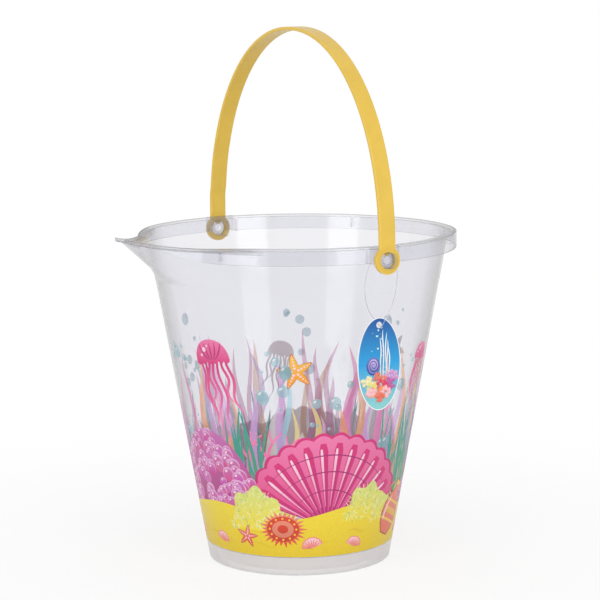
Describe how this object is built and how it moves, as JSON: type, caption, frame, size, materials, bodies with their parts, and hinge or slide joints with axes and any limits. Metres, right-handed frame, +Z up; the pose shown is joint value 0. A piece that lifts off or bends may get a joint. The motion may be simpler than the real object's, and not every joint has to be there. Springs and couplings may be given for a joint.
{
  "type": "sand bucket",
  "caption": "Clear tapered beach bucket with a pouring spout, a turned-down rim, a swinging strap handle, a printed film in its wall and a card tag on a thread.",
  "frame": {"origin": "centre of the foot, on the bucket's axis, at the level it stands on", "axes": "+Z up along the bucket's axis; +X towards the spout; the handle's pivot axis is parallel to Y; the tag hangs on the +Y side"},
  "size_m": [0.2511, 0.2406, 0.3711],
  "materials": {
    "clear_polypropylene": "clear moulded polypropylene, glossy with a slight haze",
    "printed_film": "clear film with coloured print, glossy",
    "yellow_polypropylene": "opaque moulded polypropylene, satin",
    "clear_nylon_thread": "clear nylon thread",
    "coated_card": "printed coated card with a white edge"
  },
  "bodies": {
    "bucket": {"bucket": "clear_polypropylene", "print_film": "printed_film"},
    "handle": {"handle": "yellow_polypropylene"},
    "tag": {"tag_loop": "clear_nylon_thread", "hang_tag": "coated_card"}
  },
  "joints": [
    {"name": "handle_swing", "type": "hinge", "parent": "bucket", "child": "handle", "pos_m": [0, 0, 0.2213], "axis": [0, 1, 0], "range_deg": [-115, 115]},
    {"name": "tag_swing", "type": "hinge", "parent": "bucket", "child": "tag", "pos_m": [0, 0.11295, 0.2213], "axis": [0, 1, 0], "range_deg": [-15, 15]}
  ]
}
